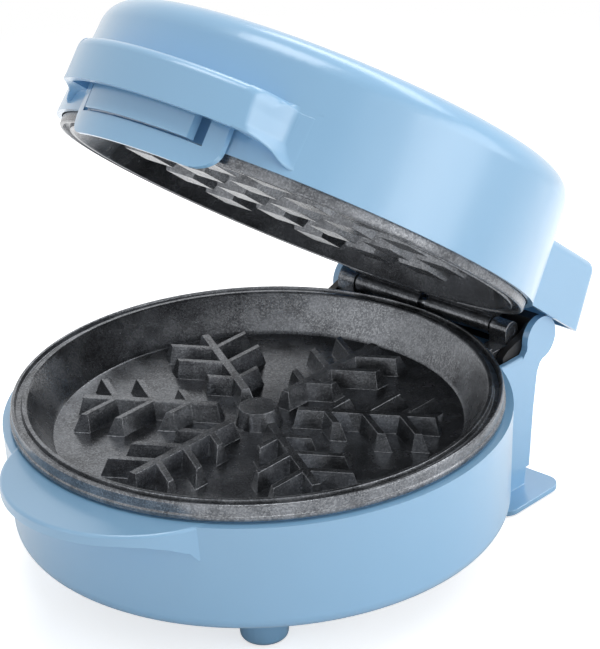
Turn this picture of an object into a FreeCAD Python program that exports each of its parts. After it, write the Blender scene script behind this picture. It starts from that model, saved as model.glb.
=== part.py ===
import FreeCAD, Part
import Sketcher
import math
import os
import re

V = FreeCAD.Vector
doc = FreeCAD.newDocument("waffle_maker")
sheet = doc.addObject("Spreadsheet::Sheet", "Sizes")

# Driving dimensions in millimetres and degrees. Z is up, the front handle points to -Y,
# the drum stands on the Z axis and the table is z = 0. Lid sizes are given with the lid closed.
# A value in quotes follows from other sizes.
driving = [
    # base drum
    ("drum_top_radius", 63.5), ("drum_draft", 1.2), ("drum_foot_radius", "drum_top_radius - drum_draft"),
    ("drum_top_z", 41.1), ("drum_foot_z", 12.1), ("drum_foot_round", 4.3), ("wall", 2.2),
    ("cover_inset", 4.7), ("cover_opening_radius", "drum_foot_radius - cover_inset"),
    # front handle lip of the base
    ("lip_radius", 33.5), ("lip_sink", 20.85), ("lip_centre_y", "drum_top_radius - lip_sink"),
    ("lip_rise", 0.1), ("lip_top_z", "drum_top_z + lip_rise"), ("lip_thick", 2.8),
    ("lip_under_z", "lip_top_z - lip_thick"), ("lip_drop", 6.2), ("lip_low_z", "lip_under_z - lip_drop"),
    ("lip_sweep", 11.0), ("lip_half", 31.0), ("lip_round", 0.9),
    # cooking plates; the rim stands inside the drum and carries every other plate radius
    ("rim_inset", 2.3), ("rim_radius", "drum_top_radius - rim_inset"), ("rim_step", 0.35), ("rim_chamfer", 0.35),
    ("rim_lift", 0.74), ("rim_under_z", "drum_top_z + rim_lift"), ("rim_step_z", "rim_under_z + 1.26"),
    ("rim_height", 4.46), ("contact_z", "rim_under_z + rim_height"), ("plate_gap", 0.4),
    ("deck_reach", 3.5), ("deck_inner_radius", "rim_radius - deck_reach"),
    ("seat_inset", 1.0), ("seat_ring_outer", "rim_radius - seat_inset"), ("seat_wide", 2.0),
    ("seat_ring_inner", "seat_ring_outer - seat_wide"),
    ("groove_inset", 0.9), ("groove_outer", "rim_radius - groove_inset"), ("groove_wide", 1.9),
    ("groove_inner", "groove_outer - groove_wide"), ("groove_depth", 1.1),
    ("cavity_land", 1.2), ("cavity_radius", "groove_inner - cavity_land"), ("bead", 0.5),
    ("cavity_depth", 9.5), ("cavity_slope", 5.2), ("cavity_floor_radius", "cavity_radius - cavity_slope"),
    ("plate_floor", 3.0), ("bowl_nip", 0.2), ("bowl_outer", "cavity_radius - bowl_nip"),
    ("bowl_step", 1.0), ("bowl_low", "cavity_floor_radius - bowl_step"), ("upper_rim_height", 4.0),
    ("relief", 4.6), ("relief_draft", 14.0), ("hub_radius", 6.0), ("spine_start", 9.0),
    ("spine_margin", 6.0), ("spine_end", "cavity_floor_radius - spine_margin"), ("spine_half", 2.2),
    ("branch_slant", 60.0), ("branch_width", 4.6), ("branch_1", 15.0), ("branch_2", 24.5), ("branch_3", 34.0),
    ("branch_reach_1", 9.0), ("branch_reach_2", 14.0), ("branch_reach_3", 13.0), ("snowflake_turn", 30.0),
    ("stud_pitch", 17.5), ("stud_base", 13.0), ("stud_draft", 14.0), ("stud_short", 2.0),
    # hinge
    ("hinge_reach", 2.45), ("hinge_y", "drum_top_radius + hinge_reach"), ("hinge_drop", 1.7),
    ("hinge_z", "contact_z - hinge_drop"), ("pin_radius", 1.3), ("pin_run", 0.1), ("barrel_radius", 2.5),
    ("barrel_start", 1.2), ("barrel_end", 22.4), ("knuckle_gap", 0.6), ("knuckle_start", "barrel_end + knuckle_gap"),
    ("knuckle_wide", 5.4), ("knuckle_end", "knuckle_start + knuckle_wide"), ("knuckle_half", 2.6),
    ("pin_half", "knuckle_end - 0.1"), ("arm_root_y", "rim_radius - 10.2"), ("arm_thick", 4.1),
    ("arm_top_z", "rim_under_z - 0.34"), ("arm_under_z", "arm_top_z - arm_thick"), ("lid_open", 37.6),
    # rear block with the two hinge cheeks
    ("block_half", 33.0), ("cheek_thick", 1.8), ("cheek_inner", "block_half - cheek_thick"),
    ("block_sink", 9.5), ("block_front_y", "drum_top_radius - block_sink"), ("joint_lap", 3.0),
    ("block_joint_y", "block_front_y - joint_lap"), ("block_foot_z", 7.0), ("block_reach", 3.2),
    ("block_foot_y", "drum_top_radius + block_reach"), ("block_mid_y", "block_foot_y + 1.9"),
    ("block_mid_z", 22.3), ("block_top_y", "block_foot_y + 3.7"), ("ledge_drop", 2.1),
    ("ledge_z", "drum_top_z - ledge_drop"), ("block_top_z", "ledge_z - 6.4"), ("block_roof_z", "ledge_z - 2.4"),
    ("neck_y", "hinge_y - 0.75"), ("cheek_y", "hinge_y + 6.45"), ("cheek_z", "hinge_z - 3.1"),
    ("cheek_radius", 5.9), ("cheek_edge", 1.0),
    ("shroud_gap", 0.3), ("shroud_front_y", "hinge_y + 5.45"), ("shroud_thick", 5.0),
    ("shroud_rear_y", "shroud_front_y + shroud_thick"), ("shroud_low_z", "hinge_z + 0.2"),
    ("shroud_top_z", "hinge_z + 2"), ("shroud_step", 20.0), ("shroud_leg_y", "hinge_y - 6.95"),
    # bottom cover, screw posts, feet and stand
    ("cover_gap", 0.3), ("cover_rise", 0.2), ("cover_under_z", "drum_foot_z + cover_rise"), ("cover_thick", 2.2),
    ("cover_top_z", "cover_under_z + cover_thick"), ("post_inset", 4.1), ("post_ring", "cover_opening_radius - post_inset"),
    ("post_radius", 3.6), ("post_high", 17.9), ("post_top_z", "cover_top_z + post_high"), ("web", 2.4),
    ("cover_screw_radius", 1.4), ("cover_head_radius", 2.9), ("cover_head", 1.2),
    ("cover_screw_length", 10.0), ("hole_clear", 0.1),
    ("foot_inset_x", 28.6), ("foot_x", "cover_opening_radius - foot_inset_x"),
    ("foot_inset_y", 25.4), ("foot_y", "cover_opening_radius - foot_inset_y"),
    ("foot_top_radius", 6.7), ("foot_tip_radius", 5.8), ("foot_round", 1.9), ("tip_z", 0.5),
    ("pad_radius", 3.4), ("pad_depth", 1.2), ("stand_flare", 6.6), ("stand_half", "block_half + stand_flare"),
    ("stand_lead", 5.0), ("stand_front_y", "block_front_y - stand_lead"), ("stand_tail", 6.2),
    ("stand_rear_y", "block_foot_y + stand_tail"), ("stand_thick", 1.4), ("stand_top_z", "tip_z + stand_thick"),
    ("riser_inset", 0.5), ("stand_corner", 4.6), ("stand_pad_x", "stand_half - 5.6"),
    ("stand_pad_y", "stand_rear_y - 7.9"), ("slot_start", 14.0), ("slot_end", 27.0), ("slot_half", 1.3),
    # heaters, reflectors and the lugs that hold the plates
    ("heater_inset", 15.0), ("heater_ring", "cavity_floor_radius - heater_inset"), ("heater_tube", 3.2),
    ("heater_gap_angle", 40.0), ("heater_seat", 0.1), ("pin_leg", 2.0), ("leg_drop", 12.0),
    ("reflector_margin", 5.0), ("reflector_radius", "heater_ring + reflector_margin"), ("sheet_metal", 0.8),
    ("reflector_bore", 10.0), ("reflector_lip", 5.4), ("reflector_drop", 7.0),
    ("stay_ring", 22.0), ("stay_radius", 3.0), ("leg_hole", 3.4),
    ("lug_z", 22.0), ("lug_thick", 3.0), ("lug_half", 4.5), ("lug_inset", 5.4),
    ("lug_ring", "cavity_floor_radius - lug_inset"),
    ("small_screw_radius", 1.2), ("small_head_radius", 2.4), ("small_head", 1.4),
    ("small_screw_length", 5.0), ("plate_screw_length", 9.0),
    # thermostat, fuse, terminal block, cord gland
    ("stat_radius", 8.0), ("stat_height", 9.4), ("blade_half", 3.1), ("blade_x", 4.0),
    ("blade_thick", 0.8), ("blade_drop", 6.0), ("fuse_y", 24.0), ("fuse_radius", 2.0),
    ("fuse_half", 7.0), ("block_term_half", 12.0), ("block_term_inset", 18.6),
    ("block_term_y", "cover_opening_radius - block_term_inset"), ("block_term_deep", 9.0),
    ("block_term_high", 8.0), ("gland_z", 13.6), ("gland_bore", 2.6), ("gland_neck", 4.1),
    ("gland_flange", 6.3), ("gland_out", 4.9), ("gland_tip", 4.1), ("gland_reach", 7.4),
    ("gland_end_y", "block_mid_y + gland_reach"),
    # lid shell, with its brow handle and hinge cover
    ("lid_gap", 2.5), ("lid_foot_z", "contact_z + lid_gap"), ("lid_skirt", 1.75),
    ("lid_foot_radius", "rim_radius + lid_skirt"), ("lid_high", 32.0), ("lid_top_z", "lid_foot_z + lid_high"),
    ("lid_draft", 1.85), ("lid_top_radius", "lid_foot_radius - lid_draft"), ("lid_top_round", 7.5),
    ("lid_deck_z", "lid_foot_z + 2.2"), ("lid_deck_thick", 2.2), ("rim_clear", 0.35),
    ("brow_radius", 44.0), ("brow_sink", 32.75), ("brow_centre_y", "lid_foot_radius - brow_sink"),
    ("brow_half", 32.3), ("brow_lift", 5.3), ("brow_low_z", "lid_foot_z + brow_lift"), ("brow_high", 10.8),
    ("brow_top_z", "brow_low_z + brow_high"), ("brow_wall", 2.0), ("brow_round", 2.3), ("brow_corner", 5.0),
    ("brow_blend", 3.0), ("brow_arch", 5.6), ("brow_arch_half", "brow_half + 2.5"),
    ("box_half", 35.2), ("box_lift", 3.1), ("box_low_z", "lid_foot_z + box_lift"), ("box_high", 18.0),
    ("box_top_z", "box_low_z + box_high"), ("box_reach", 22.75), ("box_low_y", "lid_foot_radius + box_reach"),
    ("box_rake", 3.7), ("box_top_y", "box_low_y - box_rake"), ("box_round", 3.0), ("box_wall", 1.9),
    ("box_sink", 16.95), ("box_front_y", "lid_foot_radius - box_sink"),
    ("wire_slot_half", 9.0), ("wire_slot_low", "lid_foot_z + 5.2"), ("wire_slot_high", "wire_slot_low + 6"),
    ("lens_radius", 3.2), ("lens_inset", 23.1), ("lens_y", "lens_inset - lid_top_radius"), ("lens_rise", 0.8),
    ("lens_flange", 4.2), ("lens_flange_thick", 1.0), ("lens_deep", 5.0), ("lamp_radius", 2.3),
    ("lamp_length", 7.0), ("lamp_lead", 2.0),
    # latch clip, its pin and the two ears that carry it
    ("latch_outer", 36.0), ("latch_back", 2.9), ("latch_centre_y", "brow_centre_y + latch_back"),
    ("latch_y", "brow_centre_y + 31.8"), ("latch_z", "lid_foot_z + 9.7"), ("latch_pin_radius", 1.0),
    ("latch_half", 22.7), ("latch_thick", 1.2), ("latch_arm", 3.7), ("ear_gap", 0.4),
    ("ear_start", "latch_half + ear_gap"), ("ear_thick", 3.0), ("ear_end", "ear_start + ear_thick"),
    ("ear_radius", 2.4), ("latch_pin_half", "ear_end - 0.1"), ("latch_hang", 3.7),
    ("latch_low_z", "contact_z - latch_hang"), ("latch_corner", 6.0), ("latch_band", 5.5),
    ("latch_band_top", "latch_low_z + latch_band"), ("latch_top_z", "latch_z + 1.1"), ("latch_eye", 2.1),
    ("latch_bar_z", "latch_z - 2.5"), ("thumb_half", 16.2), ("thumb_proud", 1.15), ("thumb_slit", 0.55),
    ("thumb_low_z", "latch_band_top + thumb_slit"), ("thumb_edge", 0.4),
    # the shared frame's origin is the middle of the footprint with the lid open
    ("frame_shift", 8.59),
]
for row, (name, value) in enumerate(driving, start=1):
    sheet.set("A%d" % row, name)
    sheet.set("B%d" % row, "=" + value if isinstance(value, str) else str(value))
    sheet.setAlias("B%d" % row, name)
doc.recompute()
names = {name for name, value in driving}


def size(name):
    return float(getattr(sheet, name))


def bound(text):
    # a size expression that reads the sheet
    return re.sub(r"[A-Za-z_]\w*", lambda m: "Sizes." + m.group(0) if m.group(0) in names else m.group(0), text)


def bind(obj, prop, text):
    obj.setExpression(prop, bound(text))


def new_body(label):
    body = doc.addObject("PartDesign::Body", label)
    body.Label = label
    return body


def origin_feature(body, role):
    return [o for o in body.Origin.OriginFeatures if o.Role == role][0]


def new_sketch(body, plane, offset, label):
    sketch = body.newObject("Sketcher::SketchObject", label)
    sketch.AttachmentSupport = (origin_feature(body, plane), [""])
    sketch.MapMode = "FlatFace"
    if offset is not None:
        bind(sketch, "AttachmentOffset.Base.z", offset)
    return sketch


def add_outline(sketch, points):
    # closed outline, every corner placed by two bound distances
    count = len(points)
    first = sketch.GeometryCount
    seeds = []
    for i in range(count):
        turn = 2 * math.pi * i / count
        seeds.append(V(40 * math.cos(turn) + first, 40 * math.sin(turn), 0))
    for i in range(count):
        sketch.addGeometry(Part.LineSegment(seeds[i], seeds[(i + 1) % count]))
    for i in range(count):
        sketch.addConstraint(Sketcher.Constraint("Coincident", first + i, 2, first + (i + 1) % count, 1))
    for i, (x, y) in enumerate(points):
        for kind, text, seed in (("DistanceX", x, seeds[i].x), ("DistanceY", y, seeds[i].y)):
            number = sketch.addConstraint(Sketcher.Constraint(kind, -1, 1, first + i, 1, seed))
            bind(sketch, "Constraints[%d]" % number, text)


def add_circle(sketch, x, y, radius):
    index = sketch.addGeometry(Part.Circle(V(1, 1, 0), V(0, 0, 1), 5))
    for kind, text in (("DistanceX", x), ("DistanceY", y)):
        number = sketch.addConstraint(Sketcher.Constraint(kind, -1, 1, index, 3, 1.0))
        bind(sketch, "Constraints[%d]" % number, text)
    number = sketch.addConstraint(Sketcher.Constraint("Radius", index, 5.0))
    bind(sketch, "Constraints[%d]" % number, radius)


def draw(sketch, shapes):
    for shape in shapes:
        if isinstance(shape, list):
            add_outline(sketch, shape)
        else:
            add_circle(sketch, *shape)


def rectangle(x0, x1, y0, y1):
    return [(x0, y0), (x1, y0), (x1, y1), (x0, y1)]


def extrude(body, kind, plane, shapes, low, high, label, taper=None):
    # a pad or pocket between two levels along the plane's normal axis
    sign = "-1 * " if plane == "XZ_Plane" else ""
    sketch = new_sketch(body, plane, "%s((%s) + (%s)) / 2" % (sign, low, high), label + "_sketch")
    draw(sketch, shapes)
    feature = body.newObject("PartDesign::" + kind, label)
    feature.Profile = sketch
    feature.SideType = "Symmetric"
    bind(feature, "Length", "(%s) - (%s)" % (high, low))
    if taper:
        bind(feature, "TaperAngle", taper)
    return feature


def pad(body, plane, shapes, low, high, label):
    return extrude(body, "Pad", plane, shapes, low, high, label)


def pocket(body, plane, shapes, low, high, label):
    return extrude(body, "Pocket", plane, shapes, low, high, label)


def tapered_pad(body, shapes, low, height, draft, label, down=False, turned=None):
    # a pad that narrows as it leaves its floor
    sketch = new_sketch(body, "XY_Plane", low, label + "_sketch")
    if turned:
        bind(sketch, "AttachmentOffset.Rotation.Angle", turned)
    draw(sketch, shapes)
    feature = body.newObject("PartDesign::Pad", label)
    feature.Profile = sketch
    feature.Reversed = down
    bind(feature, "Length", height)
    bind(feature, "TaperAngle", "-1 * (%s)" % draft)
    return feature


def turn(body, kind, points, label, degrees=None, plane="XZ_Plane", offset=None, shapes=None):
    sketch = new_sketch(body, plane, offset, label + "_sketch")
    draw(sketch, shapes if shapes else [points])
    feature = body.newObject("PartDesign::" + kind, label)
    feature.Profile = sketch
    feature.ReferenceAxis = (sketch, ["V_Axis"])
    if degrees:
        feature.Midplane = True
        bind(feature, "Angle", degrees)
    else:
        feature.Angle = 360
    return feature


def polar(body, features, count, label):
    pattern = body.newObject("PartDesign::PolarPattern", label)
    pattern.Originals = features
    pattern.Axis = (origin_feature(body, "Z_Axis"), [""])
    pattern.Angle = 360
    pattern.Occurrences = count
    body.Tip = pattern
    return pattern


def edges_where(feature, test):
    doc.recompute()
    found = []
    for i, edge in enumerate(feature.Shape.Edges, start=1):
        if test(edge):
            found.append("Edge%d" % i)
    return found


def soften(body, feature, test, radius, label):
    fillet = body.newObject("PartDesign::Fillet", label)
    fillet.Base = (feature, edges_where(feature, test))
    bind(fillet, "Radius", radius)
    return fillet


def ring_at(z, radius):
    # test for a circular edge of this radius at this height
    def test(edge):
        box = edge.BoundBox
        if abs(box.ZMin - z) > 0.01 or abs(box.ZMax - z) > 0.01:
            return False
        return hasattr(edge.Curve, "Radius") and abs(edge.Curve.Radius - radius) < 0.02
    return test


# Lower drum: a moulded shell with the front lip and the rear hinge block in one piece
def make_base_housing():
    body = new_body("base_housing")
    lip = pad(body, "XY_Plane", [("0", "-lip_centre_y", "lip_radius")], "lip_low_z", "lip_top_z", "lip_disc")
    lip = soften(body, lip, ring_at(size("lip_top_z"), size("lip_radius")), "lip_round", "lip_edge")
    arch = [("-lip_half", "lip_low_z - 1"), ("lip_half", "lip_low_z - 1"), ("lip_half", "lip_low_z"),
            ("lip_half - 0.076 * lip_sweep", "lip_low_z + 0.383 * lip_drop"),
            ("lip_half - 0.293 * lip_sweep", "lip_low_z + 0.707 * lip_drop"),
            ("lip_half - 0.617 * lip_sweep", "lip_low_z + 0.924 * lip_drop"),
            ("lip_half - lip_sweep", "lip_under_z"), ("lip_sweep - lip_half", "lip_under_z"),
            ("0.617 * lip_sweep - lip_half", "lip_low_z + 0.924 * lip_drop"),
            ("0.293 * lip_sweep - lip_half", "lip_low_z + 0.707 * lip_drop"),
            ("0.076 * lip_sweep - lip_half", "lip_low_z + 0.383 * lip_drop"),
            ("-lip_half", "lip_low_z")]
    pocket(body, "XZ_Plane", [arch], "-lip_centre_y - lip_radius - 5", "0", "lip_underside")
    drum = turn(body, "Revolution", [("0", "drum_foot_z"), ("drum_foot_radius", "drum_foot_z"),
                ("drum_top_radius", "drum_top_z"), ("0", "drum_top_z")], "drum")
    drum = soften(body, drum, ring_at(size("drum_foot_z"), size("drum_foot_radius")),
                  "drum_foot_round", "drum_foot_edge")
    pad(body, "YZ_Plane", [[("block_joint_y", "drum_foot_z"), ("block_front_y", "drum_foot_z"),
        ("block_front_y", "block_foot_z"), ("block_foot_y", "block_foot_z"),
        ("block_mid_y", "block_mid_z"), ("block_top_y", "block_top_z"),
        ("block_top_y + 1.3", "block_top_z + 2.3"), ("cheek_y + 2.3", "block_top_z + 4.1"),
        ("cheek_y + 4.7", "cheek_z - 2.6"), ("cheek_y - cheek_radius + 0.2", "cheek_z"),
        ("neck_y + 1", "ledge_z + 1"), ("neck_y", "ledge_z"), ("block_joint_y", "ledge_z")]],
        "-block_half", "block_half", "rear_block")
    cheeks = pad(body, "YZ_Plane", [("cheek_y", "cheek_z", "cheek_radius")], "-block_half", "block_half", "hinge_cheeks")
    half, ledge = size("block_half"), size("ledge_z")

    def is_ledge_edge(edge):
        bb = edge.BoundBox
        level = abs(bb.ZMin - ledge) < 0.01 and abs(bb.ZMax - ledge) < 0.01
        return level and bb.XLength < 0.01 and abs(abs(bb.Center.x) - half) < 0.01
    soften(body, cheeks, is_ledge_edge, "cheek_edge", "ledge_edges")
    pocket(body, "XZ_Plane", [rectangle("-cheek_inner", "cheek_inner", "block_roof_z", "cheek_z + 20")],
           "block_joint_y - 11", "cheek_y + 20", "hinge_gap")
    turn(body, "Groove", [("0", "drum_foot_z"), ("cover_opening_radius", "drum_foot_z"),
         ("cover_opening_radius", "cover_top_z"), ("drum_foot_radius - wall", "cover_top_z"),
         ("drum_top_radius - wall", "drum_top_z - wall"), ("deck_inner_radius", "drum_top_z - wall"),
         ("deck_inner_radius", "drum_top_z + 5"), ("0", "drum_top_z + 5")], "drum_hollow")
    pocket(body, "YZ_Plane", [[("block_front_y + wall", "block_foot_z - 1"),
           ("block_foot_y - wall", "block_foot_z - 1"), ("block_mid_y - wall", "block_mid_z"),
           ("block_top_y - wall", "block_top_z"), ("block_top_y - wall", "block_roof_z - wall"),
           ("block_front_y - 8", "block_roof_z - wall"), ("block_front_y - 8", "drum_foot_z"),
           ("block_front_y + wall", "drum_foot_z")]],
           "wall - block_half", "block_half - wall", "block_hollow")
    turn(body, "Revolution", rectangle("seat_ring_inner", "seat_ring_outer", "drum_top_z - 0.5", "rim_under_z"),
         "plate_seat")
    pocket(body, "XZ_Plane", [rectangle("-cheek_inner", "cheek_inner", "block_roof_z", "cheek_z + 20")],
           "block_joint_y - 11", "cheek_y + 20", "seat_gap")
    q = "post_ring * cos(45)"
    corners = [(sx, sy) for sx in ("", "-") for sy in ("", "-")]
    pad(body, "XY_Plane", [("%s%s" % (sx, q), "%s%s" % (sy, q), "post_radius") for sx, sy in corners],
        "cover_top_z", "post_top_z", "cover_posts")
    for i, (sx, sy) in enumerate(corners):
        far = "%s(post_ring * cos(45) + 11)" % sx
        near = "%s%s" % (sx, q)
        pad(body, "XY_Plane", [rectangle(near, far, "%s%s - web / 2" % (sy, q), "%s%s + web / 2" % (sy, q))],
            "cover_top_z + 2", "post_top_z", "post_web_%d" % (i + 1))
    pocket(body, "XY_Plane", [("%s%s" % (sx, q), "%s%s" % (sy, q), "cover_screw_radius + hole_clear")
           for sx, sy in corners], "cover_top_z", "cover_top_z + cover_screw_length", "cover_post_holes")
    lugs = [rectangle("lug_ring - 4.5", "drum_top_radius - wall / 2 - 0.6", "-lug_half", "lug_half"),
            rectangle("-(drum_top_radius - wall / 2 - 0.6)", "-(lug_ring - 4.5)", "-lug_half", "lug_half"),
            rectangle("-lug_half", "lug_half", "-(drum_top_radius - wall / 2 - 0.6)", "-(lug_ring - 4.5)")]
    pad(body, "XY_Plane", lugs, "lug_z", "lug_z + lug_thick", "plate_lugs")
    spots = [("lug_ring", "0"), ("-lug_ring", "0"), ("0", "-lug_ring")]
    pocket(body, "XY_Plane", [(x, y, "cover_screw_radius + hole_clear") for x, y in spots],
           "lug_z - 1", "lug_z + lug_thick + 1", "lug_holes")
    pocket(body, "XZ_Plane", [("0", "gland_z", "gland_neck + hole_clear")],
           "block_foot_y - wall - 3", "block_mid_y + 3", "gland_hole")
    return body


# Bottom cover: disc with two front feet, and the stand that closes the rear block
def make_bottom_cover():
    body = new_body("bottom_cover")
    radius = "cover_opening_radius - cover_gap"
    pad(body, "XY_Plane", [("0", "0", radius)], "cover_under_z", "cover_top_z", "cover_disc")
    cone = None
    for side in ("", "-"):
        cone = body.newObject("PartDesign::AdditiveCone", "front_foot")
        bind(cone, "Radius1", "foot_tip_radius")
        bind(cone, "Radius2", "foot_top_radius")
        bind(cone, "Height", "cover_under_z + 0.5 - tip_z")
        bind(cone, "Placement.Base.x", side + "foot_x")
        bind(cone, "Placement.Base.y", "-foot_y")
        bind(cone, "Placement.Base.z", "tip_z")
    soften(body, cone, ring_at(size("tip_z"), size("foot_tip_radius")), "foot_round", "foot_edges")
    pocket(body, "XY_Plane", [("foot_x", "-foot_y", "pad_radius + hole_clear"),
           ("-foot_x", "-foot_y", "pad_radius + hole_clear")], "tip_z - 1", "tip_z + pad_depth", "foot_sockets")
    inner = "block_half - wall - cover_gap"
    pad(body, "XY_Plane", [rectangle("-(%s)" % inner, inner, "block_front_y - 7.5", "block_front_y + 2 * wall")],
        "cover_under_z", "cover_top_z", "cover_tail")
    pad(body, "XY_Plane", [rectangle("-(%s)" % inner, inner, "block_front_y + wall + cover_gap",
        "block_front_y + 2 * wall")], "stand_top_z", "cover_top_z", "tail_web")
    pad(body, "YZ_Plane", [[("block_front_y", "stand_top_z - 0.7"),
        ("block_foot_y - 0.9 - riser_inset", "stand_top_z - 0.7"), ("block_foot_y - riser_inset", "block_foot_z"),
        ("block_front_y", "block_foot_z")]], "riser_inset - block_half", "block_half - riser_inset", "stand_riser")
    flange = pad(body, "XY_Plane", [rectangle("-stand_half", "stand_half", "stand_front_y", "stand_rear_y")],
                 "tip_z", "stand_top_z", "stand_flange")
    half = size("stand_half")

    def is_corner(edge):
        box = edge.BoundBox
        upright = box.ZLength > 0.5 and box.XLength < 0.01 and box.YLength < 0.01
        return upright and abs(abs(box.Center.x) - half) < 0.01
    soften(body, flange, is_corner, "stand_corner", "stand_corners")
    pocket(body, "XY_Plane", [rectangle("wall - block_half", "block_half - wall",
           "block_front_y + 2 * wall", "block_foot_y - wall - 0.9 - riser_inset")], "stand_top_z", "block_foot_z + 1", "stand_hollow")
    pocket(body, "XY_Plane", [("stand_pad_x", "stand_pad_y", "pad_radius + hole_clear"),
           ("-stand_pad_x", "stand_pad_y", "pad_radius + hole_clear")], "tip_z - 1", "tip_z + pad_depth / 2",
           "stand_sockets")
    q = "post_ring * cos(45)"
    corners = [(sx, sy) for sx in ("", "-") for sy in ("", "-")]
    pocket(body, "XY_Plane", [("%s%s" % (sx, q), "%s%s" % (sy, q), "cover_screw_radius + hole_clear")
           for sx, sy in corners], "cover_under_z - 1", "cover_top_z + 1", "cover_holes")
    pocket(body, "XY_Plane", [("%s%s" % (sx, q), "%s%s" % (sy, q), "cover_head_radius + hole_clear")
           for sx, sy in corners], "cover_under_z - 1", "cover_under_z + cover_head", "cover_head_seats")
    slot = pocket(body, "XY_Plane", [rectangle("slot_start", "slot_end", "-slot_half", "slot_half")],
                  "cover_under_z - 1", "cover_top_z + 1", "vent_slot")
    polar(body, [slot], 8, "vent_slots")
    return body


def cylinder(label, x, y, z, radius, height):
    obj = doc.addObject("Part::Cylinder", label)
    bind(obj, "Radius", radius)
    bind(obj, "Height", height)
    bind(obj, "Placement.Base.x", x)
    bind(obj, "Placement.Base.y", y)
    bind(obj, "Placement.Base.z", z)
    return obj


def group(label, parts):
    obj = doc.addObject("Part::Compound", label)
    obj.Label = label
    obj.Links = parts
    return obj


def make_foot_pads():
    pads = []
    for side in ("", "-"):
        pads.append(cylinder("front_pad", side + "foot_x", "-foot_y", "0", "pad_radius", "tip_z + pad_depth"))
        pads.append(cylinder("rear_pad", side + "stand_pad_x", "stand_pad_y", "0", "pad_radius",
                             "tip_z + pad_depth / 2"))
    return group("foot_pads", pads)


def screws(label, spots, seat_z, head_radius, head, shank_radius, length, upward):
    # pan head screws; the head bears on the seat level and the shank runs into the part
    items = []
    for i, (x, y) in enumerate(spots):
        if upward:
            top = cylinder(label + "_head", x, y, "(%s) - (%s)" % (seat_z, head), head_radius, head)
            shank = cylinder(label + "_shank", x, y, "(%s) - 0.2" % seat_z, shank_radius, "(%s) + 0.2" % length)
        else:
            top = cylinder(label + "_head", x, y, seat_z, head_radius, head)
            shank = cylinder(label + "_shank", x, y, "(%s) - (%s)" % (seat_z, length), shank_radius,
                             "(%s) + 0.2" % length)
        fused = doc.addObject("Part::MultiFuse", label + "_screw")
        fused.Shapes = [top, shank]
        items.append(fused)
    return group(label, items)


# A cooking plate in the closed position; side is "lower" or "upper"
def plate_profile(lower):
    if lower:
        face, way = "contact_z - plate_gap", "-"
        back = "rim_under_z"
        step = [("rim_radius + rim_step", "rim_under_z"), ("rim_radius + rim_step", "rim_step_z - 0.2"),
                ("rim_radius", "rim_step_z")]
    else:
        face, way = "contact_z", "+"
        back = "contact_z + upper_rim_height"
        step = [("rim_radius", back)]
    floor = "%s %s cavity_depth" % (face, way)
    under = "%s %s (cavity_depth + plate_floor)" % (face, way)
    return [("0", floor), ("cavity_floor_radius - 0.8", floor),
            ("cavity_floor_radius", "%s %s (cavity_depth - 0.9)" % (face, way)),
            ("cavity_radius - bead / 2", "%s %s bead" % (face, way)), ("cavity_radius + bead / 2", face),
            ("groove_inner", face), ("groove_inner + 0.3", "%s %s groove_depth" % (face, way)),
            ("groove_outer - 0.3", "%s %s groove_depth" % (face, way)), ("groove_outer", face),
            ("rim_radius - rim_chamfer", face), ("rim_radius", "%s %s rim_chamfer" % (face, way)),
            ] + step[::-1] + [("bowl_outer", back), ("bowl_outer - 1.8", "%s %s 8" % (face, way)),
                              ("bowl_low", under), ("0", under)]


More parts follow.
